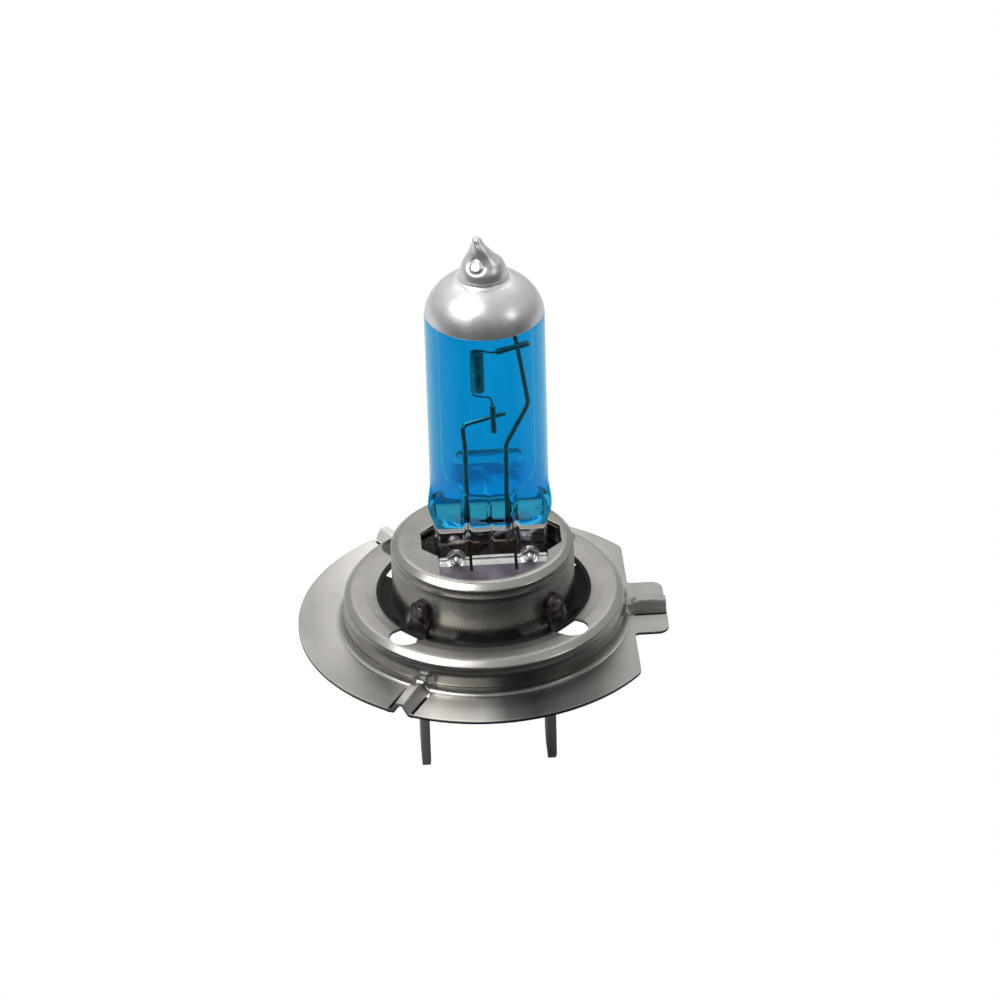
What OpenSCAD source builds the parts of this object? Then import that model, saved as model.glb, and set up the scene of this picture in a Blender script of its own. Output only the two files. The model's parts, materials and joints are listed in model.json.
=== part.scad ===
// Halogen headlight bulb with a three-rib focusing ring and two blade terminals.
// z = 0 is the reference plane: the flat tops of the three ribs.
// The z axis is the axis of the centring collar. The keyed tab points along +X.

/* [Light centre] */
// Height of the coil's centre above the rib tops
light_centre = 25; // [24.6:0.1:25.4]
// Sideways place of the coil, from the collar axis
coil_x = 0; // [-0.2:0.1:0.2]

/* [Glass] */
// Outside diameter of the tube over its coats
tube_d = 10.7; // [10.5:0.1:10.9]
// Wall of the tube
tube_wall = 1.1; // [0.9:0.1:1.2]
// Sideways place of the tube, from the collar axis
tube_x = 0.8; // [0.7:0.1:0.9]
// Height where the tube turns into the dome
shoulder_z = 30.8; // [30.6:0.1:31]
// Height of the dome above its shoulder
dome_h = 4.3; // [4.1:0.1:4.5]
// Height of the centre of the sealed knob
knob_z = 34.9; // [34.7:0.1:35.2]
// Radius of the sealed knob
knob_r = 2.1; // [1.9:0.1:2.2]
// Width of the flat press seal
press_w = 10.4; // [10:0.1:10.6]
// Thickness of the flat press seal
press_t = 4.2; // [4:0.1:4.4]
// Thickness of the blue and the silver coats
coat_t = 0.08; // [0.05:0.01:0.12]
// Height where the blue coat starts
blue_z = 10; // [9.8:0.1:10.2]
// Height where the silver coat starts
silver_z = 31.3; // [31.1:0.1:32]

/* [Coil and wires] */
// Outside diameter of the coil
coil_d = 1.3; // [1.1:0.1:1.5]
// Length of the coil
coil_len = 4.1; // [3.8:0.1:4.3]
// Turns of the coil
coil_turns = 13; // [9:1:14]
// Diameter of the coil's wire
coil_wire = 0.18; // [0.12:0.01:0.2]
// Diameter of the support leads in the bulb
lead_d = 0.46; // [0.36:0.02:0.5]
// Diameter of the sleeves on the coil's legs
sleeve_d = 0.58; // [0.5:0.02:0.6]
// Diameter of the outer leads under the seal
outer_lead_d = 0.6; // [0.4:0.1:0.7]

/* [Focusing ring] */
// Diameter of the centring collar
collar_d = 26; // [25.8:0.1:26]
// Diameter of the flange
flange_d = 34.4; // [33.6:0.1:35]
// Sheet thickness of the ring
ring_t = 0.5; // [0.4:0.05:0.55]
// Height of the ribs above the flange
rib_h = 1.1; // [1:0.1:1.2]
// Height of the collar above the flange
collar_h = 3.3; // [3.1:0.1:3.5]
// Outer bend radius of the collar's shoulder
collar_bend = 0.9; // [0.7:0.1:1]
// Diameter of the hole around the cup
hole_d = 18.9; // [18.6:0.1:19.2]
// Distance from the axis to the flange's straight side
chord_x = 13.6; // [13.5:0.1:14]
// Distance from the axis to the tip of the keyed tab
tab_x = 16.8; // [16.4:0.1:17]
// Width of the keyed tab
tab_w = 8.4; // [8:0.1:8.8]

/* [Cup] */
// Outside diameter of the holder cup
cup_d = 16.8; // [16.8:0.1:17]
// Height of the cup's top face
cup_top = 7.5; // [7.3:0.1:7.7]
// Outer bend radius of the cup's edge
cup_bend = 1; // [0.8:0.1:1.1]
// Sheet thickness of the cup, the can and the clamps
cup_t = 0.45; // [0.4:0.05:0.5]

/* [Base] */
// Diameter of the insulator's foot
foot_d = 14; // [14:0.1:14.6]
// Height of the underside of the insulator
foot_z = -7.4; // [-7.6:0.1:-7.2]
// Distance from the axis to the middle of each blade
blade_x = 5.9; // [5.8:0.05:6]
// Width of the blades
blade_w = 4.75; // [4.5:0.05:4.8]
// Thickness of the blades
blade_t = 0.8; // [0.7:0.05:0.85]
// Height of the blades' tips
blade_tip = -16.6; // [-17.5:0.1:-15]

/* [Hidden] */
$fn = 64;

steel = [0.62, 0.60, 0.57];
tinted_steel = [0.33, 0.31, 0.42];
molybdenum = [0.34, 0.35, 0.37];
big = 60;

// Glass
glass_r = tube_d / 2 - coat_t;
flare_r = glass_r + 0.3;
flare_z = 11.2;
tube_z = 12.8;
press_bottom = 1.8;
press_web = 1.3;
press_rim_w = 2.6;
press_mid_w = 1.6;
knob_lean = 15;
tip_len = 3.4;
tip_r = 0.33;
tip_base_r = 1.7;
bore_r = glass_r - tube_wall;
cavity_z = 13;
cavity_floor_r = 2.6;
cavity_rise = 1.1;

// Wires, in the plane of the seal except where they pass the sleeves. Each X is the tube's
// axis and an offset from it.
left_x = tube_x - 2.11;
right_x = tube_x + 1.57;
foil_z = [2.6, 7.6];
foil_w = 2.2;
foil_t = 0.08;
bridge_z = 16.2;
bridge_d = 1.3;
bridge_len = 6.2;
pass_y = 0.53;
coil_base = light_centre - coil_len / 2;
long_lead_path = in_tube([[1.57, 0, foil_z[1]], [1.57, 0, 17.3], [1.94, 0.15, 17.9],
                          [3.76, pass_y, 21.2], [2.84, pass_y, 27.5], [2.5, pass_y, 29.1],
                          [2.3, 0.2, 31.6]]);
short_lead_path = in_tube([[-2.11, 0, foil_z[1]], [-2.11, 0, 17.3], [-2.26, pass_y, 18.9],
                           [-2, pass_y, 19.35], [1.58, pass_y, 20.3]]);
upper_sleeve_path = in_tube([[1.04, 0, 27.02], [3.84, 0, 27.73]]);
lower_sleeve_path = in_tube([[0.48, 0, 21.4], [0.55, 0, 18.74]]);

// Ring
flange_top = -rib_h;
collar_top = flange_top + collar_h;
collar_r = collar_d / 2;
foot_fillet = 0.5;
foot_taper = 0.1;
wall_bottom = -0.1;
funnel_drop = 0.35;
rib_base = 2.5;
rib_top = 0.85;
hollow_top = 0.3;
hollow_z = -0.55;
tongue_w = 2.2;
tongue_top = 4.8;
nugget_r = 0.65;
nugget_t = 0.15;
window_w = 2.5;
window_r = [9.9, 12.05];

// Cup, can and clamps
cup_r = cup_d / 2;
cup_bottom = 0.75;
cup_rim_r = 9.55;
rim_notch_w = 5;
rim_notch_r = cup_r + 0.2;
can_bottom = 1.3;
can_top = 4.2;
slot_x = 6.4;
slot_y = 2.65;
slot_corner = 1.25;
front_x = 5;
clamp_top = cup_top - cup_t;
skirt_bottom = 4.6;
lip_y = 2.95;
lip_t = 0.4;
lip_h = 0.75;
lip_x = 5;
lip_inset = 0.07;
slit_len = 3.4;
slit_shift = 0.8;
slit_x = 2.0;
slit_w = 0.3;
hood_x = 3.3;
hood_r = 0.78;
clamp_nugget_z = 5.5;
ring_nugget_z = 3.7;
can_nugget_z = 3;
prong_x = 2.6;
prong_w = 1.8;
prong_low = -4.5;

// Insulator and blades
stem_x = 5;
stem_y = 3.2;
shelf_z = -5.5;
well_x = 3.8;
well_y = 2;
blade_foot_w = 2.5;
blade_foot_x = 2.7;
tip_chamfer = 1.1;
bead_x = 3.3;
bead_r = 0.5;

// Points given from the tube's axis
function in_tube(points) = [for (p = points) [p[0] + tube_x, p[1], p[2]]];

function unit(v) = v / norm(v);
function tangents(p) = [for (i = [0 : len(p) - 1])
    unit(p[min(i + 1, len(p) - 1)] - p[max(i - 1, 0)])];
function normals(t, n, i = 0, done = []) = i == len(t) ? done
    : let(m = unit(n - (n * t[i]) * t[i])) normals(t, m, i + 1, concat(done, [m]));

// Round wire along a list of close points
module swept_wire(p, r, sides = 6) {
    t = tangents(p);
    n = normals(t, [0, 1, 0.01]);
    last = len(p) - 1;
    rings = [for (i = [0 : last]) for (k = [0 : sides - 1])
        p[i] + r * (cos(360 * k / sides) * n[i] + sin(360 * k / sides) * cross(t[i], n[i]))];
    sides_faces = [for (i = [0 : last - 1]) for (k = [0 : sides - 1])
        let(a = i * sides + k, b = i * sides + (k + 1) % sides)
        [a, a + sides, b + sides, b]];
    ends = [[for (k = [0 : sides - 1]) k],
            [for (k = [sides - 1 : -1 : 0]) last * sides + k]];
    polyhedron(rings, concat(sides_faces, ends));
}

// Round rod from one point to another
module rod(a, b, d) {
    v = b - a;
    translate(a)
        rotate([0, acos(v[2] / norm(v)), atan2(v[1], v[0])])
            cylinder(d = d, h = norm(v));
}

// Path with each corner turned into a short curve of the given reach
function eased(p, reach) = concat([p[0]], [for (i = [1 : len(p) - 2])
    let(a = p[i] + reach * unit(p[i - 1] - p[i]), b = p[i] + reach * unit(p[i + 1] - p[i]))
    for (u = [0 : 0.25 : 1]) pow(1 - u, 2) * a + 2 * u * (1 - u) * p[i] + u * u * b],
    [p[len(p) - 1]]);

// Bent round wire
module bent_wire(p, d) {
    swept_wire(eased(p, 0.22), d / 2, 10);
}

// Quarter of a bent sheet's section: centre, inner and outer radius, and its quadrant
module bend(c, inner, outer, turn) {
    translate(c) rotate(turn) intersection() {
        difference() {
            circle(outer);
            circle(inner);
        }
        square(outer + 1);
    }
}

// Small disc on a round wall of the given radius, at each angle
module wall_nuggets(r, z, angles, inward = false) {
    for (a = angles) rotate(a) intersection() {
        translate([inward ? r - 1 : r - 0.5, 0, z]) rotate([0, 90, 0])
            cylinder(r = nugget_r, h = 1.5);
        difference() {
            cylinder(r = inward ? r : r + nugget_t, h = big, center = true);
            cylinder(r = inward ? r - nugget_t : r, h = 2 * big, center = true);
        }
    }
}

// Half section of a closed tube: straight up to the shoulder, then a quarter of an ellipse
module domed(r, h, from) {
    polygon(concat([[0, from], [r, from]],
        [for (a = [0 : 9 : 81]) [r * cos(a), shoulder_z + h * sin(a)]], [[0, shoulder_z + h]]));
}

// Half section of the tube, dome and knob, grown by a coat
module tube_section(grow) {
    domed(glass_r + grow, dome_h + grow, tube_z);
    intersection() {
        translate([0, knob_z]) circle(knob_r + grow);
        translate([0, shoulder_z]) square(big);
    }
}

// Where the tube is squeezed flat into the press seal
module flare(grow) {
    intersection() {
        rotate_extrude() polygon([[0, blue_z], [press_w / 2 + grow, blue_z],
            [flare_r + grow, flare_z], [glass_r + grow, tube_z], [0, tube_z]]);
        rotate([90, 0, 90]) linear_extrude(big, center = true)
            polygon([[-press_t / 2 - grow, blue_z], [press_t / 2 + grow, blue_z],
                     [glass_r + 0.3 + grow, tube_z], [-glass_r - 0.3 - grow, tube_z]]);
    }
}

module envelope_body(grow) {
    rotate_extrude() tube_section(grow);
    translate([0, 0, knob_z]) rotate([0, -knob_lean, 0]) {
        cylinder(r1 = tip_base_r + grow, r2 = tip_r + grow, h = tip_len);
        translate([0, 0, tip_len]) sphere(tip_r + grow);
    }
    flare(grow);
}

module coat(z_low, z_high) {
    translate([tube_x, 0, 0]) difference() {
        intersection() {
            envelope_body(coat_t);
            translate([-big / 2, -big / 2, z_low]) cube([big, big, z_high - z_low]);
        }
        envelope_body(0);
    }
}

// Cross-section of the press seal: thick rims and a thick middle, thin webs between
module press_section() {
    square([press_w, 2 * press_web], center = true);
    square([press_mid_w, press_t], center = true);
    for (s = [-1, 1]) translate([s * (press_w - press_rim_w) / 2, 0])
        square([press_rim_w, press_t], center = true);
}

module glass_envelope() {
    color("lightcyan", 0.35) difference() {
        translate([tube_x, 0, 0]) difference() {
            union() {
                envelope_body(0);
                translate([0, 0, press_bottom])
                    linear_extrude(blue_z - press_bottom) press_section();
            }
            rotate_extrude() {
                polygon([[0, cavity_z], [cavity_floor_r, cavity_z], [bore_r, cavity_z + cavity_rise],
                         [0, cavity_z + cavity_rise]]);
                domed(bore_r, dome_h - tube_wall, cavity_z + cavity_rise);
            }
        }
        for (x = [left_x, right_x]) {
            rod([x, 0, foil_z[1]], [x, 0, cavity_z + cavity_rise], lead_d);
            foil(x);
            rod([x, 0, press_bottom - 1], [x, 0, foil_z[0]], outer_lead_d);
        }
    }
}

module blue_filter_coat() {
    color("dodgerblue", 0.5) coat(blue_z, silver_z);
}

module silver_top_coat() {
    color("silver") coat(silver_z, big);
}

module foil(x) {
    translate([x - foil_w / 2, -foil_t / 2, foil_z[0]])
        cube([foil_w, foil_t, foil_z[1] - foil_z[0]]);
}

module left_foil() {
    color(molybdenum) foil(left_x);
}

module right_foil() {
    color(molybdenum) foil(right_x);
}

module filament_coil() {
    r = (coil_d - coil_wire) / 2;
    steps = 12;
    wound = [for (i = [0 : coil_turns * steps])
        [coil_x - r * cos(360 * i / steps), r * sin(360 * i / steps),
         coil_base + coil_wire / 2 + (coil_len - coil_wire) * i / (coil_turns * steps)]];
    low_leg = in_tube([[0.48, 0, 21.4], [0.44, 0, 21.9], [0.3, -0.05, 22.3],
                       [-0.1, -0.15, 22.55], [-0.7, -0.25, 22.6], [-1.15, -0.25, 22.75],
                       [-1.33, -0.15, 22.9]]);
    high_leg = in_tube([[-1.3, 0.15, 27.1], [-1, 0.12, 27.2], [-0.4, 0.02, 27.12],
                        [0.3, 0, 26.96], [1.04, 0, 27.02]]);
    color(molybdenum) swept_wire(concat(low_leg, wound, high_leg), coil_wire / 2);
}

module upper_filament_sleeve() {
    color(molybdenum) rod(upper_sleeve_path[0], upper_sleeve_path[1], sleeve_d);
}

module lower_filament_sleeve() {
    color(molybdenum) rod(lower_sleeve_path[0], lower_sleeve_path[1], sleeve_d);
}

module long_support_lead() {
    color(molybdenum) bent_wire(long_lead_path, lead_d);
}

module short_support_lead() {
    color(molybdenum) bent_wire(short_lead_path, lead_d);
}

module quartz_bridge() {
    color("lightcyan", 0.5) difference() {
        translate([tube_x, 0, bridge_z]) rotate([0, 90, 0])
            cylinder(d = bridge_d, h = bridge_len, center = true);
        for (x = [left_x, right_x]) rod([x, 0, bridge_z - 2], [x, 0, bridge_z + 1], lead_d);
    }
}

module outer_lead(side, x) {
    bent_wire([[x, 0, foil_z[0]], [x, 0, -1.5], [side * bead_x, 0, -3.6],
               [side * bead_x, 0, shelf_z + blade_t]], outer_lead_d);
}

module left_outer_lead() {
    color(molybdenum) outer_lead(-1, left_x);
}

module right_outer_lead() {
    color(molybdenum) outer_lead(1, right_x);
}

module lead_weld_beads() {
    color(steel) for (side = [-1, 1]) difference() {
        translate([side * bead_x, 0, shelf_z + blade_t]) intersection() {
            sphere(bead_r);
            cylinder(r = 1, h = 1);
        }
        rod([side * bead_x, 0, -3.6], [side * bead_x, 0, shelf_z], outer_lead_d);
    }
}

// Half of the clamp dish, with a lip along the seal that turns up at the front (side -1)
// and down under the cup's face at the rear (side 1)
module press_clamp(side) {
    lip_z = clamp_top - lip_t / 2 - side * lip_h / 2;
    r = cup_r - cup_t;
    bend_r = cup_bend - cup_t;
    inner_r = max(bend_r - lip_t, 0.05);
    difference() {
        union() {
            intersection() {
                rotate_extrude() {
                    translate([0, clamp_top - lip_t]) square([r - bend_r, lip_t]);
                    bend([r - bend_r, clamp_top - bend_r], inner_r, bend_r, 0);
                    translate([r - lip_t, skirt_bottom])
                        square([lip_t, clamp_top - bend_r - skirt_bottom]);
                }
                translate([-big / 2, side > 0 ? lip_y : -big - lip_y, 0]) cube([big, big, big]);
            }
            translate([tube_x, side * (lip_y + lip_t / 2), lip_z])
                cube([2 * lip_x, lip_t, lip_h + lip_t], center = true);
            for (s = [-1, 1]) translate([tube_x + s * hood_x, side * (lip_y - lip_inset), lip_z])
                sphere(hood_r);
        }
        for (s = [-1, 1]) translate([tube_x + s * slit_x, side * (lip_y + slit_shift), clamp_top])
            cube([slit_w, slit_len, 4], center = true);
    }
}

module press_clamp_front() {
    color(tinted_steel) press_clamp(-1);
}

module press_clamp_rear() {
    color(tinted_steel) press_clamp(1);
}

module clamp_weld_nuggets() {
    color(tinted_steel) wall_nuggets(cup_r - cup_t - lip_t, clamp_nugget_z, [55, 125, 235, 305], true);
}

// Rim at the cup's foot that closes the gap to the ring, notched where the tongues stand
module cup_rim() {
    difference() {
        rotate_extrude() translate([cup_r - cup_t, cup_bottom]) square([cup_rim_r - cup_r + cup_t, cup_t]);
        for (a = [45 : 90 : 315]) rotate(a) translate([rim_notch_r, -rim_notch_w / 2, 0])
            cube([big, rim_notch_w, 2 * cup_bottom]);
    }
}

module holder_cup() {
    face_r = cup_r - cup_bend;
    color(steel) cup_rim();
    color(steel) difference() {
        rotate_extrude() {
            translate([cup_r - cup_t, cup_bottom])
                square([cup_t, cup_top - cup_bend - cup_bottom]);
            bend([face_r, cup_top - cup_bend], cup_bend - cup_t, cup_bend, 0);
            translate([0, cup_top - cup_t]) square([face_r, cup_t]);
        }
        translate([0, 0, cup_top - cup_t - 1]) linear_extrude(3) {
            translate([tube_x, 0]) polygon([
                [-slot_x, -slot_y + slot_corner], [-slot_x, slot_y - slot_corner],
                [-slot_x + slot_corner, slot_y], [slot_x - slot_corner, slot_y],
                [slot_x, slot_y - slot_corner], [slot_x, -slot_y + slot_corner],
                [slot_x - slot_corner, -slot_y], [-slot_x + slot_corner, -slot_y]]);
            intersection() {
                circle(face_r - 0.2);
                translate([tube_x - front_x, -big - slot_y + 0.1]) square([2 * front_x, big]);
            }
        }
    }
}

// Outline of the flange: a disc with one straight side and the keyed tab on it
module flange_outline() {
    intersection() {
        circle(flange_d / 2);
        translate([-big, -big]) square([big + chord_x, 2 * big]);
    }
    corner = 1;
    translate([chord_x - 2, -tab_w / 2]) square([tab_x - chord_x + 2 - corner, tab_w]);
    translate([tab_x - corner - 0.01, corner - tab_w / 2]) square([corner + 0.01, tab_w - 2 * corner]);
    for (s = [-1, 1]) {
        translate([tab_x - corner, s * (tab_w / 2 - corner)]) circle(corner);
        translate([chord_x, s * (tab_w / 2 + 0.35)]) difference() {
            square([0.7, 0.7], center = true);
            translate([0.35, s * 0.35]) circle(0.35);
        }
    }
}

module rib_bar(base, top, low, high, from, to) {
    translate([from, 0, 0]) rotate([90, 0, 90]) linear_extrude(to - from)
        polygon([[-base / 2, low], [base / 2, low], [top / 2, high], [-top / 2, high]]);
}

// Stamped ring. The collar has its full diameter from just under the rib tops, and tapers
// slightly below, where nothing mates with it.
module focusing_ring() {
    hole_r = hole_d / 2;
    shoulder_x = collar_r - collar_bend;
    foot_x = collar_r - foot_taper + foot_fillet;
    color(steel) {
        difference() {
            union() {
                intersection() {
                    rotate_extrude() {
                        translate([foot_x, flange_top - ring_t])
                            square([flange_d / 2 + 1 - foot_x, ring_t]);
                        bend([foot_x, flange_top + foot_fillet],
                             foot_fillet, foot_fillet + ring_t, 180);
                        polygon([[collar_r - foot_taper - ring_t, flange_top + foot_fillet],
                                 [collar_r - foot_taper, flange_top + foot_fillet],
                                 [collar_r, wall_bottom], [collar_r - ring_t, wall_bottom]]);
                        translate([collar_r - ring_t, wall_bottom])
                            square([ring_t, collar_top - collar_bend - wall_bottom]);
                        bend([shoulder_x, collar_top - collar_bend],
                             collar_bend - ring_t, collar_bend, 0);
                        polygon([[shoulder_x, collar_top], [shoulder_x, collar_top - ring_t],
                                 [hole_r, collar_top - ring_t - funnel_drop],
                                 [hole_r, collar_top - funnel_drop]]);
                    }
                    translate([0, 0, -big / 2]) linear_extrude(big) flange_outline();
                }
                for (a = [0, 120, 240]) rotate(a)
                    rib_bar(rib_base, rib_top, flange_top - 0.1, 0, collar_r - 0.3,
                            a == 0 ? tab_x - 0.15 : flange_d / 2 - 0.1);
            }
            for (a = [0, 120, 240]) rotate(a)
                rib_bar(rib_base - 0.6, hollow_top, flange_top - ring_t - 0.01, hollow_z,
                        foot_x + 0.35, flange_d);
            for (a = [45 : 90 : 315]) rotate(a) translate([0, 0, collar_top - 2])
                linear_extrude(3) {
                    translate([window_r[0], -window_w / 2])
                        square([window_r[1] - window_r[0] - window_w / 2, window_w]);
                    translate([window_r[1] - window_w / 2, 0]) circle(window_w / 2);
                }
        }
        for (a = [45 : 90 : 315]) rotate(a) tongue();
    }
}

// Weld tongue on the cup, with its foot on the edge of the ring's hole
module tongue() {
    foot_top = collar_top - funnel_drop;
    foot_low = foot_top - ring_t;
    side_w = 4;
    intersection() {
        difference() {
            cylinder(r = cup_r + ring_t, h = big);
            translate([0, 0, -1]) cylinder(r = cup_r, h = big + 2);
        }
        translate([cup_r + 0.4, 0, 0]) rotate([90, 0, 90]) linear_extrude(4, center = true) {
            translate([-tongue_w / 2, foot_low])
                square([tongue_w, tongue_top - foot_low - tongue_w / 2]);
            translate([0, tongue_top - tongue_w / 2]) circle(tongue_w / 2);
        }
    }
    intersection() {
        difference() {
            translate([0, 0, foot_low + 0.03]) cylinder(r = window_r[0] - 0.15, h = ring_t - 0.06);
            translate([0, 0, -1]) cylinder(r = cup_r, h = big);
        }
        translate([0, -side_w / 2, 0]) cube([big, side_w, big]);
    }
}

module ring_weld_nuggets() {
    color(tinted_steel) wall_nuggets(cup_r + ring_t, ring_nugget_z, [45 : 90 : 315]);
}

module base_can() {
    r = cup_r - cup_t;
    color(steel) {
        difference() {
            rotate_extrude() {
                translate([r - cup_t, can_bottom]) square([cup_t, can_top - can_bottom]);
                translate([0, can_bottom]) square([r, cup_t]);
            }
            translate([0, 0, can_bottom]) cube([2 * well_x, 2 * well_y, 3], center = true);
        }
        for (s = [-1, 1]) for (x = [-prong_x, prong_x])
            translate([x - prong_w / 2, s > 0 ? stem_y : -stem_y - cup_t, prong_low])
                cube([prong_w, cup_t, can_bottom - prong_low + 0.2]);
    }
}

module can_weld_nuggets() {
    color(tinted_steel) wall_nuggets(cup_r - 2 * cup_t, can_nugget_z, [0 : 90 : 270], true);
}

module insulator() {
    color("ivory") difference() {
        union() {
            translate([-stem_x, -stem_y, shelf_z]) cube([2 * stem_x, 2 * stem_y, can_bottom - shelf_z]);
            translate([0, 0, foot_z]) cylinder(d = foot_d, h = shelf_z - foot_z);
        }
        translate([-well_x, -well_y, shelf_z]) cube([2 * well_x, 2 * well_y, 10]);
        for (s = [-1, 1]) {
            translate([s * blade_x, 0, shelf_z]) cube([blade_t, blade_w, 6], center = true);
            translate([s * 4.5, 0, shelf_z + blade_t / 2])
                cube([3, blade_foot_w, blade_t], center = true);
        }
    }
}

// Blade with a chamfered tip, its flats facing along X, and a foot turned inwards
module blade(side) {
    reach = blade_x - blade_t / 2;
    w = blade_w / 2;
    translate([side * blade_x, 0, 0]) rotate([90, 0, 90]) linear_extrude(blade_t, center = true)
        polygon([[-w, shelf_z + blade_t], [-w, blade_tip + tip_chamfer],
                 [-w + tip_chamfer, blade_tip], [w - tip_chamfer, blade_tip],
                 [w, blade_tip + tip_chamfer], [w, shelf_z + blade_t]]);
    translate([side * (reach + blade_foot_x) / 2, 0, shelf_z + blade_t / 2])
        cube([reach - blade_foot_x + 0.2, blade_foot_w, blade_t], center = true);
}

module left_blade() {
    color("gainsboro") blade(-1);
}

module right_blade() {
    color("gainsboro") blade(1);
}

glass_envelope();
blue_filter_coat();
silver_top_coat();
filament_coil();
upper_filament_sleeve();
lower_filament_sleeve();
long_support_lead();
short_support_lead();
quartz_bridge();
left_foil();
right_foil();
left_outer_lead();
right_outer_lead();
lead_weld_beads();
press_clamp_front();
press_clamp_rear();
clamp_weld_nuggets();
holder_cup();
focusing_ring();
ring_weld_nuggets();
base_can();
can_weld_nuggets();
insulator();
left_blade();
right_blade();
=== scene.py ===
import json
import math
import bmesh
import bpy
import numpy as np
from mathutils import Matrix, Vector
from mathutils.geometry import delaunay_2d_cdt


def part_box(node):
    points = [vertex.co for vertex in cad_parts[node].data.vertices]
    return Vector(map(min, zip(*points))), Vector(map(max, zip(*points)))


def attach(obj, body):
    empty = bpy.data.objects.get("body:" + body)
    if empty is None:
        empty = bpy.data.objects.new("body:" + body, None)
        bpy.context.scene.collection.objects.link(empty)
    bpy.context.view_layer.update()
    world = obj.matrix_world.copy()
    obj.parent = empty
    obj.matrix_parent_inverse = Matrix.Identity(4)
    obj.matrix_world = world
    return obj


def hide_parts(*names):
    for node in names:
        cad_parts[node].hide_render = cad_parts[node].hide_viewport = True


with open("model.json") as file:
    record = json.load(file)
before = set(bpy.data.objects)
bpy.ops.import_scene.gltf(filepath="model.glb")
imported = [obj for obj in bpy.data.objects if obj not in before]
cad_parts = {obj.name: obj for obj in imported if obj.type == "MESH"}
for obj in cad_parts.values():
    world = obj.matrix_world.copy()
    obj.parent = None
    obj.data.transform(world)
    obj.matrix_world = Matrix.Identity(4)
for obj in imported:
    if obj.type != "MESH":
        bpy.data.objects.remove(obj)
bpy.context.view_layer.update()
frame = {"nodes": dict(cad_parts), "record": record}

# Everything below is in metres, in the frame of the CAD model. MM turns millimetres into metres.
MM = 0.001
mounts = {m["name"]: m for m in frame["record"]["mounts"]}
SEAT_R = mounts["seat_ring"]["dims"]["r_mm"] * MM


def low(node):
    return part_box(node)[0]


def high(node):
    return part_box(node)[1]


# ---- sizes from the frame
TUBE_X = (low("blue_filter_coat").x + high("blue_filter_coat").x) / 2
COAT = 0.08 * MM
TUBE_R = high("blue_filter_coat").y - COAT
BLUE_Z = low("blue_filter_coat").z
SILVER_Z = low("silver_top_coat").z
PRESS_LOW = low("glass_envelope").z
FLARE_R = high("blue_filter_coat").x - TUBE_X - COAT
FLARE_Z = BLUE_Z + 1.2 * MM
TUBE_Z = BLUE_Z + 2.8 * MM
PRESS_HALF_W = 5.2 * MM
PRESS_HALF_T = 2.1 * MM
WALL = 1.1 * MM
DOME_H = 4.3 * MM
SHOULDER_Z = SILVER_Z - 0.5 * MM
KNOB_Z = SHOULDER_Z + 4.1 * MM
TIP_Z = high("silver_top_coat").z + 0.1 * MM
TIP_LEAN = math.tan(math.radians(13))
LEAN_Z = KNOB_Z + 1.6 * MM
NECK_Z = KNOB_Z - 0.1 * MM
SCAR_ANGLE, SCAR_Z, SCAR_R = math.radians(243), KNOB_Z + 1.6 * MM, 0.62 * MM
# Radius, and height above KNOB_Z, in millimetres, from the neck to the foot of the tip.
KNOB_OUTLINE = ((2.28, -0.24), (2.08, -0.10), (2.03, 0.08), (2.05, 0.35), (1.98, 0.75), (1.81, 1.15),
                (1.54, 1.55), (1.26, 1.9), (1.02, 2.25), (0.82, 2.65), (0.62, 3.05), (0.40, 3.4))

RING_SHEET = 0.5 * MM
# The ring's visible skin is thinner than its sheet, so that its cut edges stay fine.
RING_SKIN = 0.28 * MM
FLANGE_R = high("focusing_ring").y
FLANGE_TOP = low("focusing_ring").z + RING_SHEET
TAB_X = high("focusing_ring").x
TAB_HALF_W = 4.2 * MM
CHORD_X = 13.6 * MM
FOOT_FILLET = 0.5 * MM
ROLL_BEND, ROLL_FACET, FACET_TILT = 0.45 * MM, 0.5 * MM, 40
SHOULDER_R = SEAT_R - 0.1 * MM
COLLAR_TOP = FLANGE_TOP + 3.3 * MM
HOLE_R = 9.45 * MM
FUNNEL = 0.35 * MM
WINDOW_IN, WINDOW_OUT, WINDOW_HALF_W = 9.65 * MM, 12.2 * MM, 1.42 * MM
TONGUE_TOP = high("focusing_ring").z
TONGUE_HALF_W = 1.1 * MM
WELD_Z = 3.7 * MM
RIB_ANGLES = (0, 120, 240)
CREASE_IN, CREASE_OUT = 13.5 * MM, 17.0 * MM
TONGUE_ANGLES = (45, 135, 225, 315)

CUP_R = 8.4 * MM
CUP_RIM_R = high("holder_cup").x
# The cup's flared rim: its slope, and the degrees to each side of a tongue where it is notched.
RIM_RISE = 0.6
RIM_NOTCH = 25
CUP_TOP = high("holder_cup").z
CUP_LOW = low("holder_cup").z
CUP_SHEET = 0.45 * MM
SLOT_X, SLOT_Y, SLOT_CORNER = 6.4 * MM, 2.65 * MM, 1.25 * MM
ARC_X, ARC_R = 5.0 * MM, CUP_R - 1.2 * MM


# ---- mesh helpers
def add(name, data):
    """A new object in the scene."""
    obj = bpy.data.objects.new(name, data)
    bpy.context.scene.collection.objects.link(obj)
    return obj


def stand_for(obj, node):
    """Put a piece on the root body in place of a CAD node, and hide the node."""
    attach(obj, "root")
    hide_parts(node)
    return obj


def smooth_faces(mesh):
    mesh.polygons.foreach_set("use_smooth", [True] * len(mesh.polygons))


def piece(name, verts, faces, materials, node, slot):
    """A smooth mesh that stands for a CAD node."""
    mesh = bpy.data.meshes.new(name)
    mesh.from_pydata([tuple(v) for v in verts], [], faces)
    mesh.validate()
    for m in materials if isinstance(materials, tuple) else [materials]:
        mesh.materials.append(m)
    smooth_faces(mesh)
    return stand_for(add(name, mesh), node)


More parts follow.
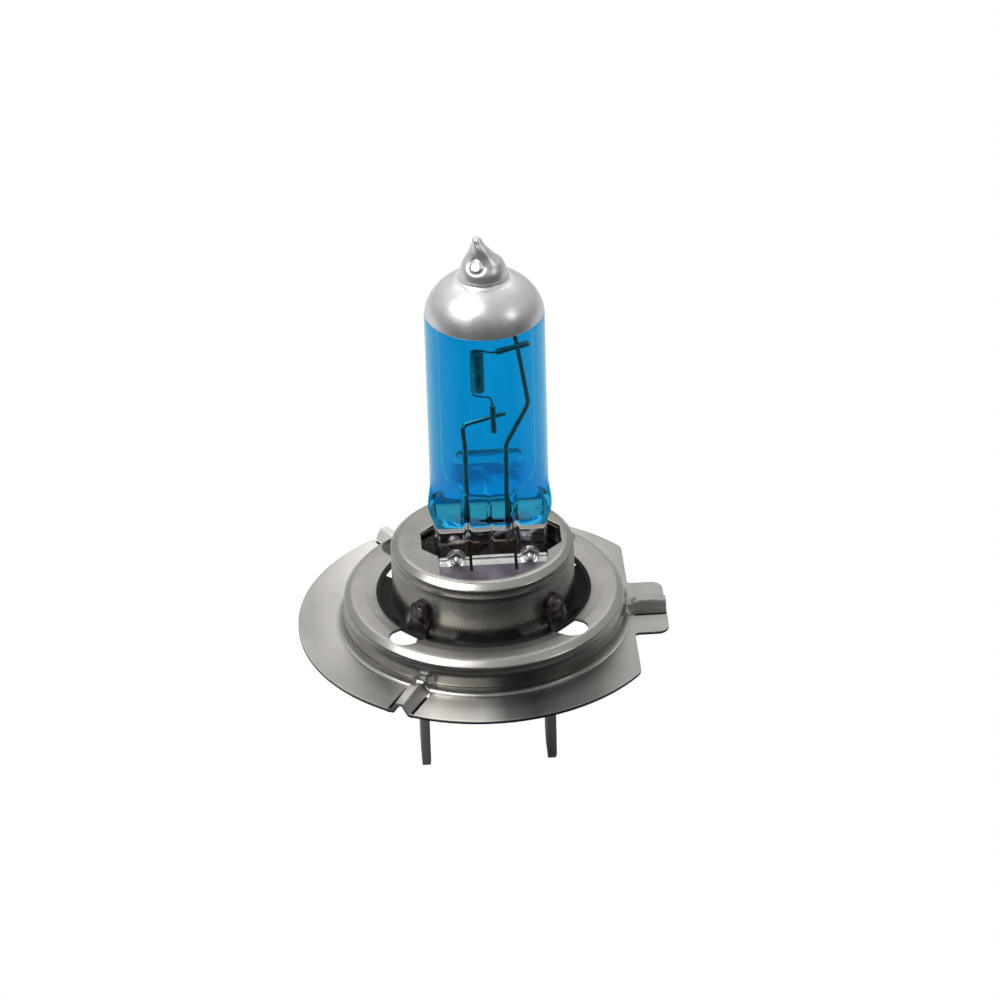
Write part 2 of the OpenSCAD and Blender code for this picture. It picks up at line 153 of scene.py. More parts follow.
def bake_modifiers(obj):
    """Turn the object's modifiers into its mesh."""
    bpy.context.view_layer.update()
    graph = bpy.context.evaluated_depsgraph_get()
    mesh = bpy.data.meshes.new_from_object(obj.evaluated_get(graph))
    obj.modifiers.clear()
    obj.data = mesh
    return obj


def sheet_metal(obj, thickness, edge=0.07 * MM):
    """Give an open surface its thickness downwards and soft edges."""
    solid = obj.modifiers.new("thickness", "SOLIDIFY")
    solid.thickness = thickness
    solid.offset = -1
    solid.use_even_offset = True
    soften(obj, edge)
    return bake_modifiers(obj)


def soften(obj, width, angle=50):
    """Round the edges that are sharper than an angle in degrees."""
    bevel = obj.modifiers.new("edges", "BEVEL")
    bevel.width = width
    bevel.segments = 2
    bevel.limit_method = "ANGLE"
    bevel.angle_limit = math.radians(angle)


def grid_faces(rows, columns, closed=True):
    """Quads between rows of points, wrapping round the columns if closed."""
    last = columns if closed else columns - 1
    return [(i * columns + j, i * columns + (j + 1) % columns,
             (i + 1) * columns + (j + 1) % columns, (i + 1) * columns + j)
            for i in range(rows - 1) for j in range(last)]


def arc(centre, radius, start, end, steps):
    """Points (r, z) on an arc in the half plane, angles in degrees."""
    return [(centre[0] + radius * math.cos(math.radians(a)), centre[1] + radius * math.sin(math.radians(a)))
            for a in np.linspace(start, end, steps)]


def turn_angles(n):
    """The angles of n equal steps round a full turn."""
    return np.linspace(0, 2 * math.pi, n, endpoint=False)


def turned(x, y, degrees):
    """The same point measured along axes turned by an angle."""
    c, s = math.cos(math.radians(degrees)), math.sin(math.radians(degrees))
    return x * c + y * s, -x * s + y * c


def end_caps(rows, columns):
    """Flat faces over the first and the last row of points."""
    return [tuple(reversed(range(columns))), tuple((rows - 1) * columns + i for i in range(columns))]


def flipped(faces):
    return [tuple(reversed(f)) for f in faces]


def lathe(profile, steps, centre_x=0.0):
    """Points and faces of a profile of (r, z) turned round the z axis."""
    verts = [(centre_x + r * math.cos(a), r * math.sin(a), z) for r, z in profile for a in turn_angles(steps)]
    return verts, grid_faces(len(profile), steps)


def smooth_path(points, step):
    """Catmull-Rom curve through the points, sampled about every step."""
    p = [np.array(q, float) for q in points]
    p = [2 * p[0] - p[1]] + p + [2 * p[-1] - p[-2]]
    out = []
    for a, b, c, d in zip(p, p[1:], p[2:], p[3:]):
        n = max(2, int(np.linalg.norm(c - b) / step))
        for t in np.linspace(0, 1, n, endpoint=False):
            out.append(0.5 * (2 * b + (c - a) * t + (2 * a - 5 * b + 4 * c - d) * t ** 2
                              + (3 * b - a - 3 * c + d) * t ** 3))
    return out + [p[-2]]


def bent_path(points, reach, steps=7):
    """Straight runs with each corner turned into a short curve."""
    p = [np.array(q, float) for q in points]
    out = [p[0]]
    for a, b, c in zip(p, p[1:], p[2:]):
        first = b + reach * (a - b) / np.linalg.norm(a - b)
        last = b + reach * (c - b) / np.linalg.norm(c - b)
        out += [(1 - t) ** 2 * first + 2 * t * (1 - t) * b + t * t * last for t in np.linspace(0, 1, steps)]
    return out + [p[-1]]


def tube(path, radius, sides):
    """A round wire with domed ends along a path, as points and faces."""
    p = np.array(path, float)
    ahead = np.gradient(p, axis=0)
    ahead /= np.linalg.norm(ahead, axis=1)[:, None]
    n = np.cross(ahead[0], (0.31, 0.95, 0.05))
    rings = []
    for centre, t in zip(p, ahead):
        n = n - t * n.dot(t)
        n /= np.linalg.norm(n)
        rings.append((centre, t, n.copy(), np.cross(t, n)))
    first, last = rings[0], rings[-1]
    dome = [(0.6 * radius * math.cos(a), math.sin(a)) for a in np.radians((10, 40, 65))]
    loops = [(first[0] - first[1] * rise, first[2], first[3], k) for rise, k in dome]
    loops += [(centre, u, v, 1.0) for centre, _, u, v in rings]
    loops += [(last[0] + last[1] * rise, last[2], last[3], k) for rise, k in reversed(dome)]
    verts = [centre + radius * k * (u * math.cos(a) + v * math.sin(a))
             for centre, u, v, k in loops for a in turn_angles(sides)]
    return verts, grid_faces(len(loops), sides) + end_caps(len(loops), sides)


def sheet_piece(name, parts, material, node, slot, thickness):
    """A piece of sheet metal whose skin is made of several parts that meet."""
    obj = piece(name, *joined(parts), material, node, slot)
    merge_close(obj, 0.004 * MM)
    sheet_metal(obj, thickness)


def joined(parts):
    """Several (points, faces) as one."""
    verts, faces = [], []
    for v, f in parts:
        shift = len(verts)
        verts += list(v)
        faces += [tuple(i + shift for i in face) for face in f]
    return verts, faces


def merge_close(obj, distance):
    mesh = bmesh.new()
    mesh.from_mesh(obj.data)
    bmesh.ops.remove_doubles(mesh, verts=mesh.verts, dist=distance)
    mesh.to_mesh(obj.data)
    mesh.free()


def softened_copy(node, material, width=0.08 * MM):
    """The CAD node with its flat faces cleaned and its edges rounded."""
    mesh = bmesh.new()
    mesh.from_mesh(frame["nodes"][node].data)
    bmesh.ops.remove_doubles(mesh, verts=mesh.verts, dist=1e-7)
    bmesh.ops.dissolve_limit(mesh, angle_limit=math.radians(1), verts=mesh.verts, edges=mesh.edges)
    data = bpy.data.meshes.new(node + "_soft")
    mesh.to_mesh(data)
    mesh.free()
    data.materials.clear()
    data.materials.append(material)
    obj = add(node + "_soft", data)
    soften(obj, width, 35)
    bake_modifiers(obj)
    smooth_faces(obj.data)
    obj.data.set_sharp_from_angle(angle=math.radians(32))
    stand_for(obj, node)


# ---- outlines as distances
def rounded_box(x, y, half_x, half_y, r):
    qx, qy = abs(x) - half_x + r, abs(y) - half_y + r
    return math.hypot(max(qx, 0), max(qy, 0)) + min(max(qx, qy), 0) - r


def blend_min(a, b, k):
    h = max(k - abs(a - b), 0) / k
    return min(a, b) - h * h * k / 4


def blend_max(a, b, k):
    return -blend_min(-a, -b, k)


def edge_radius(distance, centre, angle, reach):
    """Where a ray from the centre leaves an outline, by halving."""
    inside, outside = 0.0, reach
    for _ in range(40):
        r = (inside + outside) / 2
        if distance(centre[0] + r * math.cos(angle), centre[1] + r * math.sin(angle)) < 0:
            inside = r
        else:
            outside = r
    return inside


def outline(distance, centre, angles, reach):
    """Points where rays from the centre leave an outline."""
    return [(centre[0] + r * math.cos(a), centre[1] + r * math.sin(a))
            for a in angles for r in [edge_radius(distance, centre, a, reach)]]


def filled(loops, keep, height, spacing, extent):
    """Triangles that fill the region where keep(x, y) < 0 between loops, lifted to height(x, y)."""
    points, edges = [], []
    for loop in loops:
        n = len(points)
        points += [Vector(p) for p in loop]
        edges += [(n + i, n + (i + 1) % len(loop)) for i in range(len(loop))]
    steps = int(2 * extent / spacing)
    for i in range(steps + 1):
        for j in range(steps + 1):
            x = -extent + (i + 0.5 * (j % 2)) * spacing
            y = -extent + j * spacing
            if keep(x, y) < -0.6 * spacing:
                points.append(Vector((x, y)))
    verts, _, faces, _, _, _ = delaunay_2d_cdt(points, edges, [], 0, 1e-9)
    kept = []
    for f in faces:
        c = sum((verts[i] for i in f), Vector((0, 0))) / len(f)
        if keep(c.x, c.y) < 0:
            area = sum(verts[f[i]].cross(verts[f[(i + 1) % len(f)]]) for i in range(len(f)))
            kept.append(tuple(f) if area > 0 else tuple(reversed(f)))
    return [(v.x, v.y, height(v.x, v.y)) for v in verts], kept


# ---- materials
def rgba(value):
    """A grey or a colour as a colour with alpha."""
    return (value,) * 3 + (1,) if isinstance(value, (int, float)) else tuple(value) + (1,)


class NodeTree:
    """A node tree with a few procedural helpers."""

    def __init__(self, tree, coordinates):
        self.nodes = tree.nodes
        self.links = tree.links
        self.place = self.nodes.new("ShaderNodeTexCoord").outputs[coordinates]

    def feed(self, socket, value):
        """Give a socket a number, a colour or another node's output."""
        if isinstance(value, bpy.types.NodeSocket):
            self.links.new(value, socket)
        else:
            socket.default_value = rgba(value) if socket.type == "RGBA" else value

    def axes(self):
        """The x, y and z of the place."""
        node = self.nodes.new("ShaderNodeSeparateXYZ")
        self.links.new(self.place, node.inputs[0])
        return node.outputs

    def noise(self, size, detail=3.0, stretch=(1, 1, 1), rough=0.5):
        """Noise whose features are about size metres across."""
        mapping = self.nodes.new("ShaderNodeMapping")
        mapping.inputs["Scale"].default_value = stretch
        self.links.new(self.place, mapping.inputs["Vector"])
        node = self.nodes.new("ShaderNodeTexNoise")
        node.inputs["Scale"].default_value = 1 / size
        node.inputs["Detail"].default_value = detail
        node.inputs["Roughness"].default_value = rough
        self.links.new(mapping.outputs["Vector"], node.inputs["Vector"])
        return node.outputs["Fac"]

    def ramp(self, value, *stops):
        """Colours or greys at places along a value."""
        node = self.nodes.new("ShaderNodeValToRGB")
        elements = node.color_ramp.elements
        while len(elements) < len(stops):
            elements.new(0.5)
        for element, (place, colour) in zip(elements, stops):
            element.position = place
            element.color = rgba(colour)
        self.links.new(value, node.inputs["Fac"])
        return node.outputs["Color"]

    def vary(self, noise, a, b):
        """Colours or greys that wander from one to another with a noise."""
        return self.ramp(noise, (0.3, a), (0.7, b))

    def math(self, operation, a, b=0.0, c=0.0):
        node = self.nodes.new("ShaderNodeMath")
        node.operation = operation
        for socket, value in zip(node.inputs, (a, b, c)):
            self.feed(socket, value)
        return node.outputs["Value"]

    def scaled(self, value, factor, shift=0.0):
        return self.math("MULTIPLY_ADD", value, factor, shift)

    def mix(self, fac, a, b, mode="MIX"):
        node = self.nodes.new("ShaderNodeMix")
        node.data_type = "RGBA"
        node.blend_type = mode
        for index, value in ((0, fac), (6, a), (7, b)):
            self.feed(node.inputs[index], value)
        return node.outputs[2]

    def tinted(self, a, b):
        """One colour multiplied by another."""
        return self.mix(1.0, a, b, "MULTIPLY")

    def seen_directly(self):
        """1 for what the eye sees, straight or through glass, and 0 for reflections and light."""
        path = self.nodes.new("ShaderNodeLightPath")
        return self.math("MAXIMUM", path.outputs["Is Camera Ray"], path.outputs["Is Transmission Ray"])


class Look(NodeTree):
    """A Principled material with named constant sockets."""

    def __init__(self, name, **sockets):
        self.material = bpy.data.materials.new(name)
        self.material.use_nodes = True
        super().__init__(self.material.node_tree, "Object")
        self.shader = self.nodes["Principled BSDF"]
        for key, value in sockets.items():
            self.shader.inputs[key.replace("_", " ")].default_value = value

    def set(self, socket, value):
        self.links.new(value, self.shader.inputs[socket])

    def bump(self, value, height, strength=1.0):
        node = self.nodes.new("ShaderNodeBump")
        node.inputs["Strength"].default_value = strength
        node.inputs["Distance"].default_value = height
        self.links.new(value, node.inputs["Height"])
        self.links.new(node.outputs["Normal"], self.shader.inputs["Normal"])


# Factors that turn lengths into a ramp's 0 to 1: up to 10, 20 or 33.3 mm, or from -17.9 to 17.9 mm.
PER_10_MM, PER_20_MM, PER_33_MM = 100.0, 50.0, 30.0
PER_SIDE = 28.0
# Shade is painted black in the gap round the cup, which lies inside GAP_R and below a cone just over the
# cup's flared rim.
GAP_R, GAP_DROP = 9.9 * MM, 3.7 * MM
# Shade is painted black on the flange's cut edge, which lies outside EDGE_R, and lower than the rib tops by
# EDGE_DROP less EDGE_R.
EDGE_R, EDGE_DROP = 14 * MM, 15.2 * MM


def drawn_steel(look, patches, out, across):
    """Colour of the cup and the collar, with shade painted on their walls, darkest to the right of their
    middle.
    """
    base = look.vary(patches, (0.40, 0.385, 0.355), (0.52, 0.50, 0.47))
    wall = look.ramp(out, (0.411, 0.0), (0.418, 1.0), (0.435, 1.0), (0.44, 0.0), (0.640, 0.0), (0.648, 1.0))
    # Painted shade on the walls, by how far across they lie.
    tones = look.ramp(across, (0.25, 0.85), (0.42, 1.0), (0.56, 0.5), (0.70, 0.5), (0.85, 0.8))
    return look.mix(wall, base, look.tinted(base, tones))


def flat_steel(look, patches, across, along_y):
    """Colour of the flange, with painted reflections and shade: pale at the back and the left, dark at the
    front right.
    """
    # Painted reflections and shade by place on the flange; the mottling and the warm tint are the steel's
    # own.
    front = look.ramp(along_y, (0.24, 1.0), (0.40, 0.0))
    front_painted_reflections = look.ramp(across, (0.05, 0.48), (0.24, 0.30), (0.34, 0.85), (0.47, 0.80), (0.53, 0.22),
                            (0.60, 0.09), (0.76, 0.18), (0.86, 0.40))
    back_painted_reflections = look.ramp(across, (0.06, 0.50), (0.14, 0.72), (0.22, 1.0), (0.70, 0.70), (0.90, 0.46))
    mottled = look.mix(look.vary(patches, 0.0, 1.0), 0.88, 1.08)
    toned = look.tinted(mottled, look.mix(front, back_painted_reflections, front_painted_reflections))
    return look.tinted(toned, (1.0, 0.965, 0.905))


def finished(look, colour, rough, relief, height, strength):
    """The material, with its colour, its roughness and a bump of some height in place."""
    look.set("Base Color", colour)
    look.set("Roughness", rough)
    look.bump(relief, height, strength)
    return look.material


def satin_steel():
    """Stamped steel: satin where it was drawn, duller on the flange, with painted reflections and shade on
    walls and flange, and shade painted black in the gap round the cup and on the flange's cut edge.
    """
    look = Look("satin_steel")
    x, y, z = look.axes()
    reach = look.math("SQRT", look.math("ADD", look.math("MULTIPLY", x, x), look.math("MULTIPLY", y, y)))
    out = look.scaled(reach, PER_20_MM)
    across = look.scaled(x, PER_SIDE, 0.5)
    along_y = look.scaled(y, PER_SIDE, 0.5)
    flat = look.ramp(out, (0.668, 0.0), (0.69, 1.0))
    annulus = look.ramp(out, (0.45, 0.0), (0.47, 1.0), (0.60, 1.0), (0.62, 0.0))
    # Painted shade: the gap round the cup is made black, dull and not metallic.
    above_rim = look.math("ADD", look.scaled(reach, -RIM_RISE, z), GAP_DROP)
    outside = look.math("SUBTRACT", reach, GAP_R)
    gap_shade = look.math("LESS_THAN", look.math("MAXIMUM", outside, above_rim), 0.0)
    # Painted shade: the flange's cut edge and underside are made black.
    edge = look.math("GREATER_THAN", look.math("SUBTRACT", look.math("MINIMUM", reach, EDGE_R), z), EDGE_DROP)
    patches = look.noise(5 * MM, 4)
    stains = look.noise(1.4 * MM, 5, rough=0.7)
    lines = look.noise(0.10 * MM, 2, (0.25, 0.25, 3))
    drawn = drawn_steel(look, patches, out, across)
    base = look.mix(flat, drawn, flat_steel(look, patches, across, along_y))
    stained = look.mix(look.ramp(stains, (0.60, 0.0), (0.78, 0.3)), base, (0.34, 0.32, 0.29))
    # Both painted shades turn the colour near black.
    dark = look.math("MAXIMUM", gap_shade, edge)
    colour = look.mix(dark, stained, (0.035, 0.033, 0.03))
    look.set("Metallic", look.mix(gap_shade, look.ramp(flat, (0.0, 1.0), (1.0, 0.85)), 0.0))
    look.set("Specular IOR Level", look.scaled(gap_shade, -0.45, 0.5))
    rough = look.mix(flat, look.mix(annulus, look.vary(stains, 0.22, 0.33), 0.46), 0.40)
    return finished(look, colour, rough, lines, 0.0012 * MM, 0.35)


def tinned_blade():
    """Plated strip, with fine marks along its length."""
    look = Look("tinned_blade", Metallic=0.85)
    tones = look.noise(4 * MM, 3)
    grain = look.noise(0.5 * MM, 4, (1, 1, 0.15))
    colour = look.vary(tones, (0.28, 0.272, 0.245), (0.38, 0.37, 0.335))
    return finished(look, colour, look.vary(grain, 0.30, 0.42), grain, 0.003 * MM, 0.5)


def tinted_steel(name, colours, size):
    """Stainless sheet coloured by heat."""
    look = Look(name, Metallic=1.0)
    colour = look.ramp(look.noise(size, 3), (0.3, colours[0]), (0.5, colours[1]), (0.72, colours[2]))
    rough = look.vary(look.noise(0.3 * MM, 3), 0.34, 0.5)
    return finished(look, colour, rough, look.noise(0.1 * MM, 3), 0.004 * MM, 0.5)


def wire_metal(name, dark, light):
    """Bare metal of the small pieces, with fine marks along z."""
    look = Look(name, Metallic=1.0)
    colour = look.ramp(look.noise(0.8 * MM, 3), (0.35, dark), (0.65, light))
    rough = look.vary(look.noise(0.2 * MM, 2, (4, 4, 1)), 0.32, 0.5)
    return finished(look, colour, rough, look.noise(0.07 * MM, 2, (5, 5, 1)), 0.003 * MM, 0.6)


def clear_quartz(name, bend, highlight_strength=0.0):
    """Quartz with a given refraction, and with white patches of painted highlight in a band near the top of
    the press.
    """
    look = Look(name, Roughness=0.0, IOR=bend)
    height = look.scaled(look.axes()["Z"], PER_20_MM)
    # Painted highlights: where the noise is high the glass turns white and diffuse.
    near_top = look.ramp(height, (0.405, 0.0), (0.43, highlight_strength), (0.485, highlight_strength), (0.50, 0.0))
    painted_highlights = look.ramp(look.noise(0.9 * MM, 3, (0.5, 1, 1.4)), (0.56, 0.0), (0.66, 1.0))
    look.set("Transmission Weight", look.math("SUBTRACT", 1.0, look.math("MULTIPLY", painted_highlights, near_top)))
    tint = look.vary(look.noise(3 * MM, 2), (0.95, 0.975, 0.985), (1.0, 1.0, 1.0))
    look.set("Base Color", tint)
    look.bump(look.noise(1.2 * MM, 2, (1, 1, 0.25)), 0.004 * MM, 0.6)
    return look.material


def blue_film():
    """Blue filter coat: streaked along the tube, darker towards its foot, with dark ripples of painted shade
    at its foot, glossy above it.
    """
    look = Look("blue_film", Roughness=0.0, IOR=1.0, Transmission_Weight=1.0, Coat_IOR=1.3,
                Coat_Roughness=0.12)
    x, _, z = look.axes()
    height = look.scaled(z, PER_33_MM)
    streaks = look.noise(2.5 * MM, 3, (1, 1, 0.2))
    tint = look.vary(streaks, (0.03, 0.50, 0.765), (0.05, 0.535, 0.79))
    look.set("Coat Weight", look.ramp(height, (0.40, 0.0), (0.46, 1.0)))
    depth = look.ramp(height, (0.30, (0.9, 0.86, 1.0)), (0.35, (0.9, 0.82, 0.96)), (0.40, (0.9, 0.9, 0.96)),
                      (0.62, (1.0, 1.0, 1.0)))
    # Painted shade at the foot: dark ripples, strongest in the middle of the tube.
    ripple_shade = look.ramp(look.noise(2.2 * MM, 3, (1, 1, 4), 0.6), (0.36, 0.0), (0.50, 0.8))
    foot = look.ramp(height, (0.325, 0.0), (0.345, 1.0), (0.375, 1.0), (0.395, 0.0))
    across = look.scaled(x, PER_10_MM, 0.42)
    sides = look.ramp(across, (0.12, 0.0), (0.25, 1.0), (0.75, 1.0), (0.88, 0.0))
    shade = look.math("MULTIPLY", look.math("MULTIPLY", ripple_shade, foot), sides)
    look.set("Base Color", look.mix(shade, look.tinted(tint, depth), (0.12, 0.16, 0.34)))
    return look.material


def silver_paint():
    """Dull silver coat, clouded where it was dipped."""
    look = Look("silver_paint", Metallic=0.75)
    clouds = look.noise(1.6 * MM, 4)
    colour = look.vary(clouds, (0.80, 0.80, 0.82), (0.88, 0.88, 0.90))
    return finished(look, colour, look.vary(clouds, 0.28, 0.38), look.noise(0.6 * MM, 2), 0.010 * MM, 0.4)


def steatite():
    """Unglazed cream ceramic."""
    look = Look("steatite", Roughness=0.62)
    clouds = look.noise(1.5 * MM, 4)
    look.set("Base Color", look.vary(clouds, (0.70, 0.66, 0.56), (0.80, 0.77, 0.68)))
    look.bump(look.noise(0.15 * MM, 4), 0.01 * MM, 0.7)
    return look.material


STEEL = satin_steel()
BLADE_STEEL = tinned_blade()
PURPLE_TINTS = (0.10, 0.085, 0.115), (0.165, 0.145, 0.18), (0.27, 0.245, 0.29)
BROWN_TINTS = (0.035, 0.028, 0.032), (0.10, 0.08, 0.088), (0.21, 0.18, 0.185)
PURPLE = tinted_steel("purple_tinted_steel", PURPLE_TINTS, 2.2 * MM)
BROWN = tinted_steel("brown_tinted_steel", BROWN_TINTS, 0.9 * MM)
WELD = wire_metal("weld", (0.12, 0.09, 0.08), (0.38, 0.32, 0.30))
# A paler metal for the front clamp's lip, a painted highlight where it catches the light.
LIP_HIGHLIGHT = wire_metal("lip_painted_highlight", (0.60, 0.59, 0.58), (0.72, 0.71, 0.70))
MOLY = wire_metal("molybdenum", (0.40, 0.41, 0.43), (0.58, 0.59, 0.61))
TUNGSTEN = wire_metal("tungsten", (0.36, 0.37, 0.40), (0.54, 0.55, 0.58))
FOIL = wire_metal("foil", (0.16, 0.12, 0.10), (0.30, 0.23, 0.18))
QUARTZ = clear_quartz("clear_quartz", 1.46, 0.75)
TUBE_QUARTZ = clear_quartz("thin_quartz", 1.01)
BLUE = blue_film()
SILVER = silver_paint()
STEATITE = steatite()


# ---- glass
def ease(t):
    t = min(max(t, 0.0), 1.0)
    return t * t * (3 - 2 * t)


def along(z, *stops):
    """Eased value at height z between (height, value) stops."""
    if z <= stops[0][0]:
        return stops[0][1]
    for (z0, v0), (z1, v1) in zip(stops, stops[1:]):
        if z <= z1:
            return v0 + (v1 - v0) * ease((z - z0) / (z1 - z0))
    return stops[-1][1]


def seal_thickness(x):
    """Thickness of the press seal across its width, both as parts of the half sizes."""
    x = abs(x)
    if x > 0.9:
        return math.sqrt(max(1 - ((x - 0.9) / 0.1) ** 2, 0))
    groove = ease((x - 0.34) / 0.05) * ease((0.48 - x) / 0.05)
    line = 0.25 * ease((0.03 - x) / 0.02)
    return 1 - 0.38 * groove - line


def tube_loop(z, grow, steps):
    """The glass's outline at a height below the dome, as points round the axis."""
    half_w = along(z, (BLUE_Z, PRESS_HALF_W), (FLARE_Z, FLARE_R), (TUBE_Z + 0.8 * MM, TUBE_R)) + grow
    half_t = along(z, (BLUE_Z - 0.3 * MM, PRESS_HALF_T), (TUBE_Z, TUBE_R)) + grow
    flat = 1 - along(z, (BLUE_Z - 0.2 * MM, 0), (BLUE_Z + 1.8 * MM, 1))
    fold = 0.007 * ease((z - BLUE_Z - 0.3 * MM) / (0.6 * MM)) * ease((TUBE_Z + 0.5 * MM - z) / (1.2 * MM))
    loop = []
    for a in turn_angles(steps):
        c, s = math.cos(a), math.sin(a)
        y = abs(s) * (1 - flat) + seal_thickness(c) * flat
        y += fold * math.sin((z - BLUE_Z) / (0.11 * MM) + 5 * math.sin(2.3 * c))
        loop.append((TUBE_X + half_w * c, math.copysign(half_t * y, s) if abs(s) > 1e-9 else 0.0, z))
    return loop


def dome_profile(grow):
    """Half section (r, z) from the top of the tube over the dome, the knob and the tip."""
    points = [((TUBE_R + grow) * math.cos(a), SHOULDER_Z + (DOME_H + grow) * math.sin(a))
              for a in np.radians(np.linspace(0, 62, 24))]
    above = [(r * MM + grow, 0, KNOB_Z + z * MM) for r, z in KNOB_OUTLINE]
    knob = smooth_path([(points[-1][0], 0, points[-1][1])] + above, 0.09 * MM)
    points = points[:-1] + [(p[0], p[2]) for p in knob]
    r0, z0 = points[-1]
    top = TIP_Z + grow
    points += [(r0 * math.cos(a), z0 + (top - z0) * math.sin(a)) for a in np.radians((20, 40, 58, 72, 82))]
    return points + [(1e-6, top)]


def knob_shape(angle, z):
    """How far the sealed knob departs from round: a puckered scar in front, and a twisted tip."""
    span = (angle - SCAR_ANGLE + math.pi) % (2 * math.pi) - math.pi
    off = math.hypot(span * 1.35 * MM, (z - SCAR_Z) * 1.25) / SCAR_R
    scar = 0.13 * MM * (1 - ease((off - 0.55) / 0.35)) - 0.10 * MM * math.exp(-((off - 1.08) / 0.2) ** 2)
    fade = ease((z - KNOB_Z - 0.9 * MM) / (0.8 * MM)) * ease((TIP_Z - z) / (0.9 * MM))
    return scar + 0.13 * MM * math.sin(2 * angle + (z - KNOB_Z) / (0.75 * MM)) * fade


def dome_loops(grow, steps):
    loops = []
    for r, z in dome_profile(grow):
        lean = -TIP_LEAN * max(z - LEAN_Z, 0)
        fade = ease((z - NECK_Z) / (0.5 * MM)) * min(r / (0.5 * MM), 1)
        loop = []
        for a in turn_angles(steps):
            shaped = max(r + knob_shape(a, z) * fade, 0)
            loop.append((TUBE_X + lean + shaped * math.cos(a), shaped * math.sin(a), z))
        loops.append(loop)
    return loops


def envelope_loops(grow, z_from, z_to=None, steps=160):
    """Loops of the outside of the glass from one height to another, or to the tip."""
    loops = [tube_loop(z, grow, steps) for z in np.arange(PRESS_LOW, SHOULDER_Z, 0.2 * MM)]
    loops += dome_loops(grow, steps)
    top = 1.0 if z_to is None else z_to
    loops = [loop for loop in loops if z_from + 0.05 * MM < loop[0][2] < top - 0.05 * MM]
    loops.insert(0, cut_loop(grow, z_from, steps))
    if z_to is not None:
        loops.append(cut_loop(grow, z_to, steps))
    return loops


def cut_loop(grow, z, steps):
    """The outline just at a height, on the tube or low on the dome."""
    if z <= SHOULDER_Z:
        return tube_loop(z, grow, steps)
    r = (TUBE_R + grow) * math.sqrt(1 - ((z - SHOULDER_Z) / (DOME_H + grow)) ** 2)
    return [(TUBE_X + r * math.cos(a), r * math.sin(a), z) for a in turn_angles(steps)]


def closed_loft(loops):
    """Loops joined into a closed skin with a flat start and end."""
    rows, columns = len(loops), len(loops[0])
    verts = [p for loop in loops for p in loop]
    return verts, grid_faces(rows, columns) + end_caps(rows, columns)


def film_shell(z_from, z_to, grow):
    """A thin closed shell on the glass between two heights."""
    outer = envelope_loops(grow, z_from, z_to)
    inner = envelope_loops(0.01 * MM, z_from, z_to)
    loops = outer + list(reversed(inner))
    n = len(outer[0])
    last = (len(loops) - 1) * n
    foot = [(last + j, last + (j + 1) % n, (j + 1) % n, j) for j in range(n)]
    return [p for loop in loops for p in loop], grid_faces(len(loops), n) + foot


def cavity():
    """The sealed space in the tube, facing inwards."""
    bore = TUBE_R - WALL
    floor = ((0.4, 0.15), (1.4, 0.2), (2.5, 0.4), (3.4, 0.9), (3.95, 1.7))
    profile = [(r * MM, TUBE_Z + z * MM) for r, z in floor] + [(bore, TUBE_Z + 2.8 * MM)]
    roof_z = SILVER_Z + 1.1 * MM
    roof_h = SHOULDER_Z + DOME_H - 0.7 * MM - roof_z
    profile += [(bore, z) for z in np.arange(TUBE_Z + 3.3 * MM, roof_z, 0.5 * MM)]
    profile += [(bore * math.cos(a), roof_z + roof_h * math.sin(a))
                for a in np.radians(np.linspace(0, 84, 20))]
    verts, faces = lathe(profile, 160, TUBE_X)
    return verts, flipped(faces + end_caps(len(profile), 160))


def make_glass():
    """The envelope and its two coats."""
    verts, faces = joined([closed_loft(envelope_loops(0, PRESS_LOW)), cavity()])
    glass = piece("glass_body", verts, faces, (QUARTZ, TUBE_QUARTZ), "glass_envelope", "quartz")
    for face in glass.data.polygons:
        face.material_index = int(face.center.z > FLARE_Z)
    film = piece("blue_coat", *film_shell(BLUE_Z, SILVER_Z, COAT), BLUE, "blue_filter_coat", "blue_coat")
    unseen_by_steel(glass)
    unseen_by_steel(film)
    piece("silver_coat", *film_shell(SILVER_Z, None, COAT), SILVER, "silver_top_coat", "silver_coat")


def unseen_by_steel(obj):
    """Keep a clear piece's shadow and reflection off the steel."""
    obj.visible_shadow = False
    obj.visible_glossy = False


# ---- wires in the tube
COIL_X = low("filament_coil").x + 0.65 * MM
COIL_R = 0.56 * MM
COIL_WIRE = 0.095 * MM
COIL_TURNS = 17
COIL_LOW, COIL_HIGH = 23.04 * MM, 26.96 * MM
LEAD_R = 0.23 * MM
SLEEVE_R = 0.29 * MM
LEFT_X, RIGHT_X = TUBE_X - 2.11 * MM, TUBE_X + 1.57 * MM
BRIDGE_Z = (low("quartz_bridge").z + high("quartz_bridge").z) / 2


def in_tube(points):
    """Points in millimetres from the tube's axis, as metres in the frame."""
    return [(x * MM + TUBE_X, y * MM, z * MM) for x, y, z in points]


LONG_LEAD = in_tube([(1.57, 0, 7.6), (1.57, 0, 17.3), (1.94, 0.15, 17.9), (3.76, 0.53, 21.2),
                     (2.84, 0.53, 27.5), (2.5, 0.53, 29.1), (2.5, 0.5, 31.6)])
SHORT_LEAD = in_tube([(-2.11, 0, 7.6), (-2.11, 0, 17.3), (-2.26, 0.53, 18.9), (-2.0, 0.53, 19.35),
                      (1.58, 0.53, 20.3)])
UPPER_SLEEVE = in_tube([(1.04, 0, 27.02), (3.84, 0, 27.73)])
LOWER_SLEEVE = in_tube([(0.48, 0, 21.4), (0.55, 0, 18.74)])


